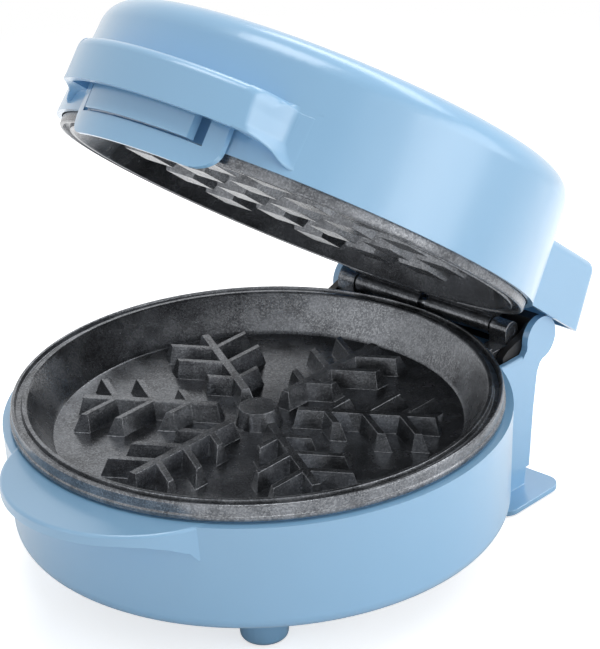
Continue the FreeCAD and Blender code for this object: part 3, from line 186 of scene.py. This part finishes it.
def makeCastCoat(name, onLid=False):
    s = castCoat
    mat, tree, shader = newMaterial(name, {"Roughness": s["rough"], "Metallic": s["metal"]})
    coords = objectCoords(tree, onLid)
    # colour: clouds of two greys, with pale flakes in them
    links = {"Vector": coords, "Scale": perMetre(s["cloud"]), "Detail": 4}
    cloud = addNode(tree, "ShaderNodeTexNoise", links)
    stops = [(0.3, s["dark"]), (0.7, s["mid"])]
    base = addNode(tree, "ShaderNodeValToRGB", {"Fac": cloud.outputs[0]}, stops)
    flakes = addNode(tree, "ShaderNodeTexVoronoi", {"Vector": coords, "Scale": perMetre(s["grain"])})
    stops = [(0.3, 0.0), (1.0, s["flakeShine"])]
    shine = addNode(tree, "ShaderNodeValToRGB", {"Fac": flakes.outputs["Color"]}, stops)
    # 0 is the share of the second colour, 6 and 7 are the colours
    links = {0: shine.outputs[0], 6: base.outputs[0], 7: hexColour(s["flake"])}
    colour = addNode(tree, "ShaderNodeMix", links, data_type="RGBA")
    tree.links.new(colour.outputs[2], shader.inputs["Base Color"])
    # the pale clouds are duller
    stops = [(0.3, s["rough"] - s["roughClear"]), (0.7, s["rough"] + s["roughCloudy"])]
    rough = addNode(tree, "ShaderNodeValToRGB", {"Fac": cloud.outputs[0]}, stops)
    tree.links.new(rough.outputs[0], shader.inputs["Roughness"])
    links = {"Vector": coords, "Scale": perMetre(s["peel"]), "Detail": 2}
    peel = addNode(tree, "ShaderNodeTexNoise", links)
    links = {"Height": peel.outputs[0], "Distance": s["peelDepth"] * mm}
    relief = addNode(tree, "ShaderNodeBump", links)
    tree.links.new(relief.outputs[0], shader.inputs["Normal"])
    return mat


# the inside and small pieces; size is that of the blotches and depth that of the relief, in millimetres
plainFinishes = {
    # moulded rubber: black, dull
    "rubber": {"name": "moulded rubber", "colour": "1b1b1c", "dark": "121213", "size": 3, "rough": 0.75},
    # zinc plated steel: grey with a faint cloudy plating
    "zinc": {"name": "zinc plated steel", "colour": "b9bcc0", "dark": "8f9398", "size": 1.5,
             "rough": 0.32, "metal": 1.0, "depth": 0.01},
    # aluminised sheet steel: pale dull metal with spangle
    "sheet": {"name": "aluminised steel sheet", "colour": "c3c5c6", "dark": "a7aaac", "size": 4,
              "rough": 0.38, "metal": 1.0, "depth": 0.01},
    # heater sheath, nickel steel browned by heat
    "sheath": {"name": "heat browned sheath steel", "colour": "5a5149", "dark": "3a332e", "size": 5,
               "rough": 0.5, "metal": 0.8, "depth": 0.03},
    # phenolic moulding: near black, half matt
    "phenolic": {"name": "phenolic moulding", "colour": "1d1a19", "dark": "141211", "size": 2,
                 "rough": 0.5},
    # sleeve woven of glass fibre: off white, matt
    "fuse": {"name": "glass fibre sleeve", "colour": "d9d3c0", "dark": "c3bca6", "size": 1.0,
             "rough": 0.8, "depth": 0.1},
    # moulded nylon: milky, half matt
    "nylon": {"name": "moulded nylon", "colour": "dcdbd2", "dark": "cfcdc2", "size": 5, "rough": 0.45},
}
# clear pieces with a tint; index is that of refraction, through the share of light let through
tintedFinishes = {
    # moulded polycarbonate tinted amber: glossy, warm orange
    "amber": {"name": "amber polycarbonate", "rough": 0.12, "index": 1.585, "through": 0.55, "size": 3,
              "dark": "d9541c", "light": "f07a2a"},
    # thin lamp glass with a faint orange gas tint
    "glass": {"name": "lamp glass", "rough": 0.05, "index": 1.5, "through": 0.9, "size": 2,
              "dark": "f3dcc6", "light": "fbe9d8"},
}


def makePlain(name, colour, dark, size, rough, metal=0.0, depth=0.02):
    # two close tones in blotches, with a relief four times as fine
    mat, tree, shader = newMaterial(name, {"Roughness": rough, "Metallic": metal})
    coords = objectCoords(tree)
    links = {"Vector": coords, "Scale": perMetre(size), "Detail": 4}
    blotch = addNode(tree, "ShaderNodeTexNoise", links)
    tone = addNode(tree, "ShaderNodeValToRGB", {"Fac": blotch.outputs[0]}, [(0.35, dark), (0.65, colour)])
    tree.links.new(tone.outputs[0], shader.inputs["Base Color"])
    links = {"Vector": coords, "Scale": perMetre(size / 4), "Detail": 3}
    fine = addNode(tree, "ShaderNodeTexNoise", links)
    relief = addNode(tree, "ShaderNodeBump", {"Height": fine.outputs[0], "Distance": depth * mm})
    tree.links.new(relief.outputs[0], shader.inputs["Normal"])
    return mat


def makeTinted(name, rough, index, through, size, dark, light):
    # a clear piece whose tint comes in faint blotches
    sockets = {"Roughness": rough, "IOR": index, "Transmission Weight": through}
    mat, tree, shader = newMaterial(name, sockets)
    links = {"Vector": objectCoords(tree), "Scale": perMetre(size), "Detail": 2}
    blotch = addNode(tree, "ShaderNodeTexNoise", links)
    tint = addNode(tree, "ShaderNodeValToRGB", {"Fac": blotch.outputs[0]}, [(0.3, dark), (0.7, light)])
    tree.links.new(tint.outputs[0], shader.inputs["Base Color"])
    return mat


materials = {
    "blueAbsBase": makeBlueAbs("moulded blue ABS"),
    "blueAbsLid": makeBlueAbs("moulded blue ABS, lid", onLid=True),
    "castBase": makeCastCoat("non-stick cast aluminium"),
    "castLid": makeCastCoat("non-stick cast aluminium, lid", onLid=True),
}
for key, values in plainFinishes.items():
    materials[key] = makePlain(**values)
for key, values in tintedFinishes.items():
    materials[key] = makeTinted(**values)

# which finish each node has
finishes = {
    "base_housing": "blueAbsBase", "bottom_cover": "blueAbsBase", "foot_pads": "rubber",
    "lower_plate": "castBase", "lower_heater": "sheath", "lower_reflector": "sheet",
    "thermostat": "phenolic", "thermal_fuse": "fuse", "terminal_block": "nylon",
    "cord_gland": "rubber", "hinge_shroud": "phenolic", "hinge_pin": "zinc",
    "cover_screws": "zinc", "lower_plate_screws": "zinc",
    "lower_reflector_screws": "zinc", "lid_housing": "blueAbsLid", "upper_plate": "castLid",
    "upper_heater": "sheath", "upper_reflector": "sheet", "indicator_lens": "amber",
    "neon_lamp": "glass", "latch_pin": "zinc", "upper_plate_screws": "zinc",
    "upper_reflector_screws": "zinc", "latch_clip": "blueAbsLid",
}
for name, finish in finishes.items():
    mesh = nodes[name].data
    mesh.materials.clear()
    mesh.materials.append(materials[finish])
print("materials on", len(finishes), "nodes")

# width of the softened edge on each moulded or cast piece, in millimetres
edgeSizes = {
    "upper_plate": 0.3, "lower_plate": 0.3, "latch_clip": 0.35, "lid_housing": 0.35,
    "base_housing": 0.35, "bottom_cover": 0.35,
}
# what counts as one point in millimetres, and as one flat face and as a sharp edge in degrees
joining = {"weld": 0.002, "flat": 0.6, "sharp": 32}


def joinFaces(piece):
    # the loose triangles are joined and flat faces made one
    weld = piece.modifiers.new("join", "WELD")
    weld.merge_threshold = joining["weld"] * mm
    flat = piece.modifiers.new("flat", "DECIMATE")
    flat.decimate_type = "DISSOLVE"
    flat.angle_limit = math.radians(joining["flat"])


def roundEdges(piece, width):
    # sharp edges rounded off, and the shading of the flat faces kept even
    edge = piece.modifiers.new("edge", "BEVEL")
    edge.width = width * mm
    edge.segments = 2
    edge.limit_method = "ANGLE"
    edge.angle_limit = math.radians(joining["sharp"])
    edge.use_clamp_overlap = True
    even = piece.modifiers.new("even", "WEIGHTED_NORMAL")
    even.keep_sharp = True


# ends of the brow handle on the lid, in millimetres in the closed lid's frame, the drum's axis on z
browEnd = {
    "shiftY": 8.59,  # how far the drum's axis stands in front of the origin
    "cut": 26.3,  # x where the plain end is cut off
    "cutNear": 0.001,  # points this near the cut are on it
    "rootX": 35.6,  # x where the plain end met the wall
    "frontY": -45,  # the plain end is in front of this
    "spare": 0.5,  # and no higher than this above the brow's top
    "thin": 0.07,  # what stands out of the wall by less than this stays
    "last": 37.4,  # x where the new end stops
    "sections": 64,
    "topRows": 6,
    "roundRows": 10,
    "frontRows": 22,
    "edgeRows": 5,
    "centreY": -30.2,  # the brow's front is a circle about this
    "radius": 44.0,
    "topZ": 64.9,
    "topDrop": 1.5,  # the top's front comes down by this over dropX
    "dropX": (29.5, 33.5),
    "rootLift": 0.1,  # and its root goes up by this over liftX
    "liftX": (27, 29),
    "rootDepth": 0.03,  # how far the root stands out of the wall
    "wallFoot": 62.95,  # the wall's radius at footZ, and at wallHigh above it
    "wallTop": 61.1,
    "footZ": 48.8,
    "wallHigh": 32.0,
    "fade": 5.0,  # length in x over which the front sinks to the wall
    "skirt": 0.05,  # how far the rest stands out of the wall, to cover the cut
    "sinkX": 35.7,  # from here to the last section it sinks by skirtSink
    "skirtSink": 0.3,
    "round": 2.3,  # radius of the top's edge at the cut
    "roundMore": 1.4,  # how much larger it is from roundX on
    "roundX": 31.5,
    "roundLeast": 0.01,
    "edge": 0.5,  # radius of the low edge
    "underSink": 0.6,  # how far the underside runs into the wall
    "smoothing": 5,  # sections on each side over which the low edge is evened out
    "endZ": (50.3, 51.6, 53.2, 56.0, 60.0, 65.0),  # heights at which the front ends at endX
    "endX": (37.2, 36.0, 34.6, 33.2, 32.9, 32.9),
    "lowX": (28.5, 30.0, 30.8, 32.1, 33.5, 34.8, 36.5),  # places at which the low edge is at lowZ
    "lowZ": (54.1, 53.9, 53.6, 52.9, 51.6, 50.6, 50.2),
}


def smoothStep(value, low, high):
    # 0 up to low, 1 from high on, 3 t^2 - 2 t^3 between
    t = np.clip((value - low) / (high - low), 0, 1)
    return t * t * (3 - 2 * t)


def closedFrame():
    # from the shared frame in metres to the closed lid's own frame in millimetres
    pivot = Vector((0, pose["hingeY"], pose["hingeZ"]))
    turn = Matrix.Rotation(math.radians(pose["lidOpen"]), 4, "X")
    toPivot = Matrix.Translation(-pivot) @ Matrix.Scale(1 / mm, 4)
    return Matrix.Translation((0, browEnd["shiftY"], 0)) @ Matrix.Translation(pivot) @ turn @ toPivot


def wallRadius(z):
    # radius of the drafted lid wall at height z, straight from its foot to its top
    s = browEnd
    return s["wallFoot"] + (s["wallTop"] - s["wallFoot"]) * (z - s["footZ"]) / s["wallHigh"]


def cutBrow():
    # the lid shell joined to one mesh, without the two ends of its brow
    s = browEnd
    node = nodes["lid_housing"]
    joined = node.evaluated_get(bpy.context.evaluated_depsgraph_get())
    mesh = bpy.data.meshes.new_from_object(joined)
    closed = closedFrame() @ node.matrix_world
    bm = bmesh.new()
    bm.from_mesh(mesh)
    bm.transform(closed)
    for side in (-1, 1):
        geom = bm.faces[:] + bm.edges[:] + bm.verts[:]
        place = (side * s["cut"], 0, 0)
        bmesh.ops.bisect_plane(bm, geom=geom, dist=s["cutNear"], plane_co=place,
                               plane_no=(side, 0, 0))
    gone = []
    for face in bm.faces:
        x, y, z = face.calc_center_median()
        atEnd = s["cut"] < abs(x) < s["rootX"] and y < s["frontY"]
        atHeight = s["footZ"] < z < s["topZ"] + s["spare"]
        if atEnd and atHeight and math.hypot(x, y) - wallRadius(z) > s["thin"]:
            gone.append(face)
    bmesh.ops.delete(bm, geom=gone, context="FACES")
    bm.transform(closed.inverted())
    bm.to_mesh(mesh)
    bm.free()
    piece = bpy.data.objects.new("lid_shell", mesh)
    bpy.context.scene.collection.objects.link(piece)
    print("brow ends cut:", len(gone), "faces")
    return piece


def browDepth(x, z):
    # how far the brow stands out of the lid wall: D(x, z) E(x, z) + skirt(x) (1 - E), where D is from
    # the wall's circle to the brow's, E is 1 up to end - fade and 0 from end(z) on, and the skirt
    # covers the cut
    s = browEnd
    end = np.interp(z, s["endZ"], s["endX"])
    keep = 1 - smoothStep(x, end - s["fade"], end)
    wallY = -np.sqrt(wallRadius(z) ** 2 - x ** 2)
    browY = s["centreY"] - np.sqrt(s["radius"] ** 2 - x ** 2)
    skirt = s["skirt"] - s["skirtSink"] * smoothStep(x, s["sinkX"], s["last"])
    return keep * (wallY - browY) + (1 - keep) * skirt


def browSection(xs):
    # depths and heights, a row for each step over the top, round its edge, down the front, round
    # the low edge and back under, and a column for each section
    s = browEnd
    # the low edge through its tabled points, evened out by a bell-shaped mean over its neighbours
    low = np.interp(xs, s["lowX"], s["lowZ"])
    kernel = np.hanning(2 * s["smoothing"] + 3)[1:-1]
    low = np.convolve(np.pad(low, s["smoothing"], mode="edge"), kernel / kernel.sum(), mode="valid")
    top = s["topZ"] - s["topDrop"] * smoothStep(xs, *s["dropX"])
    root = s["topZ"] + s["rootLift"] * smoothStep(xs, *s["liftX"])
    # the edge's radius r dies away with the depth d as r (1 - exp(-(d / r)^3))
    deepTop = browDepth(xs, top)
    radius = s["round"] + s["roundMore"] * smoothStep(xs, s["cut"], s["roundX"])
    radius = radius * (1 - np.exp(-(np.maximum(deepTop, 0) / radius) ** 3)) + s["roundLeast"]
    rows = []
    for t in np.linspace(0, 1, s["topRows"])[:-1]:
        deep = s["rootDepth"] + t * (deepTop - radius - s["rootDepth"])
        rows.append((deep, root + t * (top - root)))
    for angle in np.linspace(0, math.pi / 2, s["roundRows"]):
        z = top - radius * (1 - math.cos(angle))
        rows.append((browDepth(xs, z) - radius * (1 - math.sin(angle)), z))
    start = top - radius
    end = low + s["edge"]
    for t in np.linspace(0, 1, s["frontRows"])[1:]:
        z = start + t * (end - start)
        rows.append((browDepth(xs, z), z))
    deepLow = browDepth(xs, end)
    for angle in np.linspace(0, math.pi / 2, s["edgeRows"])[1:]:
        deep = deepLow - s["edge"] * (1 - math.cos(angle))
        rows.append((deep, low + s["edge"] * (1 - math.sin(angle))))
    for t in np.linspace(0, 1, s["edgeRows"])[1:]:
        rows.append(((deepLow - s["edge"]) * (1 - t) - s["underSink"] * t, low))
    return np.array([row[0] for row in rows]), np.array([row[1] for row in rows])


def gridFaces(rows, cols):
    # the four corners of each cell of a grid of points, row by row
    i = np.arange((rows - 1) * (cols - 1))
    a = (i // (cols - 1)) * cols + i % (cols - 1)
    return np.stack([a, a + 1, a + cols + 1, a + cols], axis=-1)


def makeBrowEnds():
    # the right end, y = -sqrt(wall(z)^2 - x^2) - depth in sections along x, and the left as its mirror
    s = browEnd
    xs = np.linspace(s["cut"], s["last"], s["sections"])
    deep, z = browSection(xs)
    rows, cols = deep.shape
    x = np.broadcast_to(xs, deep.shape)
    y = -np.sqrt(wallRadius(z) ** 2 - x ** 2) - deep
    # corners in the order that turns the faces outwards
    quads = gridFaces(rows, cols)[:, [0, 3, 2, 1]]
    right = np.stack([x, y, z], axis=-1).reshape(-1, 3)
    left = right * (-1, 1, 1)
    size = len(right)
    verts = np.concatenate([right, left, right[::cols], left[::cols]])
    faces = np.concatenate([quads, quads[:, ::-1] + size]).tolist()
    # flat caps on the cut sides, with their own vertices
    cap = np.arange(rows)
    faces += [(cap + 2 * size).tolist(), (cap[::-1] + 2 * size + rows).tolist()]
    back = np.array(closedFrame().inverted())
    verts = verts @ back[:3, :3].T + back[:3, 3]
    mesh = bpy.data.meshes.new("brow_ends")
    mesh.from_pydata(verts.tolist(), [], faces)
    mesh.polygons.foreach_set("use_smooth", [True] * (len(faces) - 2) + [False, False])
    mesh.materials.append(materials["blueAbsLid"])
    piece = bpy.data.objects.new("brow_ends", mesh)
    bpy.context.scene.collection.objects.link(piece)
    print("brow ends made:", len(faces), "faces")
    return piece


for name, width in edgeSizes.items():
    joinFaces(nodes[name])
    if name != "lid_housing":
        roundEdges(nodes[name], width)
lidShell = cutBrow()
roundEdges(lidShell, edgeSizes["lid_housing"])
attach(lidShell, "lid")
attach(makeBrowEnds(), "lid")
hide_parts("lid_housing")
print("edges softened")

# floor and backdrop in one curved white sheet, in metres
stageSizes = {
    "half": 1.6,
    "back": 1.2,
    "radius": 0.4,
    "height": 1.6,
    "widen": 1.5,  # width over depth
    "curveRows": 17,
    "columns": 5,
    "colour": "f4f4f4",
    "lift": 0.66,  # glow of the floor where it is looked at
    "mirrorLift": 0.55,  # its glow where gloss or glass shows it
    "mirrorFrom": (0.06, 0.16),  # distances from the middle over which that glow sets in
    "glowFrom": (0.22, 0.4),  # distances over which the floor turns plain white
    "shade": (0.054, 0.12),  # distance and grey level of the floor under the object, a painted shade that darkens the underside and feet
    "open": (0.074, 0.9),  # distance and grey level of the floor around it
}


def seenRay(tree):
    # 1 for what is looked at, mirrored or seen through glass, 0 for the light that a surface gathers
    path = addNode(tree, "ShaderNodeLightPath").outputs
    seen = path["Is Camera Ray"]
    for kind in ("Is Glossy Ray", "Is Transmission Ray"):
        seen = addNode(tree, "ShaderNodeMath", {0: seen, 1: path[kind]}, operation="MAXIMUM").outputs[0]
    return seen


def makeSheet():
    s = stageSizes
    mat = bpy.data.materials.new("white sheet")
    mat.use_nodes = True
    tree = mat.node_tree
    tree.nodes.clear()
    white = (1, 1, 1, 1)
    sheet = addNode(tree, "ShaderNodeBsdfDiffuse", {"Color": hexColour(s["colour"])})
    coords = addNode(tree, "ShaderNodeTexCoord").outputs["Object"]
    reach = addNode(tree, "ShaderNodeVectorMath", {0: coords}, operation="LENGTH").outputs["Value"]
    # near the object: the lit floor and its shadow, lifted towards white
    near, far = s["mirrorFrom"]
    links = {"Value": reach, "From Min": near, "From Max": far, "To Max": s["mirrorLift"]}
    mirrored = addNode(tree, "ShaderNodeMapRange", links, interpolation_type="SMOOTHSTEP")
    looked = addNode(tree, "ShaderNodeLightPath").outputs["Is Camera Ray"]
    links = {"Value": looked, "To Min": mirrored.outputs[0], "To Max": s["lift"]}
    level = addNode(tree, "ShaderNodeMapRange", links)
    # painted shade: the floor close under the object hands back little light, so the underside and feet
    # come out darker
    under = addNode(tree, "ShaderNodeValToRGB", {"Fac": reach}, [s["shade"], s["open"]])
    gathered = addNode(tree, "ShaderNodeBsdfDiffuse", {"Color": under.outputs[0]})
    lift = addNode(tree, "ShaderNodeEmission", {"Color": white, "Strength": level.outputs[0]})
    lit = addNode(tree, "ShaderNodeAddShader", {0: sheet.outputs[0], 1: lift.outputs[0]})
    # further out: plain white
    glow = addNode(tree, "ShaderNodeEmission", {"Color": white, "Strength": 1.0})
    near, far = s["glowFrom"]
    links = {"Value": reach, "From Min": near, "From Max": far}
    away = addNode(tree, "ShaderNodeMapRange", links, interpolation_type="SMOOTHSTEP")
    links = {0: away.outputs[0], 1: lit.outputs[0], 2: glow.outputs[0]}
    shown = addNode(tree, "ShaderNodeMixShader", links)
    links = {0: seenRay(tree), 1: gathered.outputs[0], 2: shown.outputs[0]}
    mix = addNode(tree, "ShaderNodeMixShader", links)
    addNode(tree, "ShaderNodeOutputMaterial", {"Surface": mix.outputs[0]})
    return mat


def makeStage():
    # x runs straight, the profile goes along the floor, round a quarter circle and up
    s = stageSizes
    turn = np.linspace(0, math.pi / 2, s["curveRows"])
    wallY = s["back"] + s["radius"]
    profileY = np.concatenate(([-s["half"]], s["back"] + s["radius"] * np.sin(turn), [wallY]))
    profileZ = np.concatenate(([0.0], s["radius"] * (1 - np.cos(turn)), [s["height"]]))
    xs = np.linspace(-s["half"] * s["widen"], s["half"] * s["widen"], s["columns"])
    gridX, gridY = np.meshgrid(xs, profileY)
    gridZ = np.repeat(profileZ[:, None], len(xs), axis=1)
    verts = np.stack([gridX, gridY, gridZ], axis=-1).reshape(-1, 3)
    faces = gridFaces(*gridX.shape)
    mesh = bpy.data.meshes.new("stage")
    mesh.from_pydata(verts.tolist(), [], faces.tolist())
    mesh.polygons.foreach_set("use_smooth", [True] * len(mesh.polygons))
    obj = bpy.data.objects.new("stage", mesh)
    bpy.context.scene.collection.objects.link(obj)
    mesh.materials.append(makeSheet())


makeStage()
print("floor and backdrop made")

# camera, in degrees and millimetres
cameraView = {
    "azimuth": 42.49,
    "elevation": 25.17,
    "roll": -2.38,
    "distance": 796.31,
    "lens": 178.27,
    "sensor": 36,
    "target": (0, -8.59, 48.3),
    "slideRight": 10.7,
    "slideUp": 13.6,
}


def placeCamera():
    s = cameraView
    az, el, roll = (math.radians(s[k]) for k in ("azimuth", "elevation", "roll"))
    back = Vector((math.sin(az) * math.cos(el), -math.cos(az) * math.cos(el), math.sin(el)))
    right = Vector((math.cos(az), math.sin(az), 0))
    up = back.cross(right)
    x = math.cos(roll) * right + math.sin(roll) * up
    y = -math.sin(roll) * right + math.cos(roll) * up
    spot = Vector(s["target"]) + s["slideRight"] * x + s["slideUp"] * y + s["distance"] * back
    data = bpy.data.cameras.new("camera")
    data.lens = s["lens"]
    data.sensor_width = s["sensor"]
    data.sensor_fit = "AUTO"
    data.clip_start = 0.05
    cam = bpy.data.objects.new("camera", data)
    turn = Matrix((x, y, back)).transposed().to_4x4()
    cam.matrix_world = Matrix.Translation(spot * mm) @ turn
    bpy.context.scene.collection.objects.link(cam)
    bpy.context.scene.camera = cam


placeCamera()

# soft boxes in metres and watts: name, place, aim, width, height, power
softBoxes = [
    ("right", (1.2, 0.05, 0.6), (0, 0, 0.05), 1.1, 0.8, 1.7),
    ("rim", (0.95, 0.42, 0.3), (0, 0, 0.06), 1.0, 0.55, 3.3),
    ("topBack", (0.05, 0.82, 0.92), (0, 0, 0.08), 1.3, 0.32, 4.5),
    ("overhead", (0, -0.05, 1.25), (0, 0, 0.05), 0.75, 0.5, 4.4),
    ("fillFront", (-0.2, -1.1, 0.45), (0, 0, 0.07), 0.9, 0.7, 1.2),
]
# even light from all around; looked at, or seen in gloss or glass, it is plain white
worldLight = {"tint": "f6f7f8", "strength": 0.4}


def placeLights():
    for name, place, aim, width, height, power in softBoxes:
        data = bpy.data.lights.new(name, "AREA")
        data.shape = "RECTANGLE"
        data.size = width
        data.size_y = height
        data.energy = power
        lamp = bpy.data.objects.new(name, data)
        lamp.location = place
        lamp.rotation_euler = (Vector(aim) - Vector(place)).to_track_quat("-Z", "Y").to_euler()
        bpy.context.scene.collection.objects.link(lamp)
    world = bpy.data.worlds.new("studio")
    bpy.context.scene.world = world
    world.use_nodes = True
    tree = world.node_tree
    tree.nodes.clear()
    links = {"Color": hexColour(worldLight["tint"]), "Strength": worldLight["strength"]}
    soft = addNode(tree, "ShaderNodeBackground", links)
    white = addNode(tree, "ShaderNodeBackground", {"Color": (1, 1, 1, 1), "Strength": 1.0})
    links = {0: seenRay(tree), 1: soft.outputs[0], 2: white.outputs[0]}
    mix = addNode(tree, "ShaderNodeMixShader", links)
    addNode(tree, "ShaderNodeOutputWorld", {"Surface": mix.outputs[0]})


placeLights()
bpy.context.scene.view_settings.view_transform = "Standard"
print("camera and lights placed")
